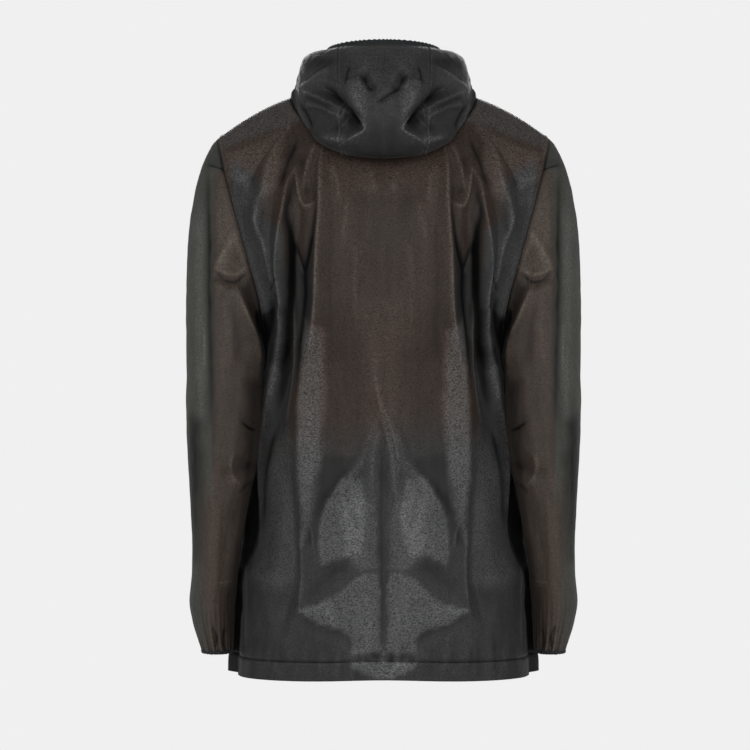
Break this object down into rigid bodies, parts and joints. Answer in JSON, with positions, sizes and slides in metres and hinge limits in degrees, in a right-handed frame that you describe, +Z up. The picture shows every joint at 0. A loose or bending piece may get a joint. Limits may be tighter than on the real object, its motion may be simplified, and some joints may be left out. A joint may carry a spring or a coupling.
{
  "type": "windbreaker",
  "caption": "Hooded windbreaker of thin coated half see-through cloth, worn shape with nobody in it, hood down, arms hanging, front zip closed, ruched elastic at hood and cuffs.",
  "frame": {"origin": "middle of the neck seam, level with its two high points at the shoulders, where the garment hangs on its wearer", "axes": "+Z up, the front of the garment faces -Y, the wearer's left is +X"},
  "size_m": [0.5002, 0.2987, 0.8],
  "materials": {
    "body_cloth": "coated, thin, satin sheen, warm brown on the upper back and charcoal below",
    "sleeve_cloth": "coated, thin, satin sheen, warm brown with a grey outer edge",
    "hood_cloth": "coated, two layers thick to the eye, charcoal",
    "elastic_binding": "ribbed black elastic, ruched",
    "zip_tape": "woven black tape",
    "zip_teeth": "black coil",
    "zip_metal": "dark enamel"
  },
  "bodies": {
    "garment": {"back": "body_cloth", "front_left": "body_cloth", "front_right": "body_cloth", "sleeve_left": "sleeve_cloth", "sleeve_right": "sleeve_cloth", "cuff_binding_left": "elastic_binding", "cuff_binding_right": "elastic_binding", "hood_center": "hood_cloth", "hood_side_left": "hood_cloth", "hood_side_right": "hood_cloth", "hood_binding": "elastic_binding", "zip_tape_left": "zip_tape", "zip_tape_right": "zip_tape", "zip_chain": "zip_teeth", "zip_slider": "zip_metal", "zip_box": "zip_metal"},
    "zip_pull": {"zip_pull": "zip_metal"}
  },
  "joints": [
    {"name": "zip_pull_swing", "type": "hinge", "parent": "garment", "child": "zip_pull", "pos_m": [0, -0.1056, -0.004], "axis": [-1, 0, 0], "range_deg": [0, 150]}
  ]
}
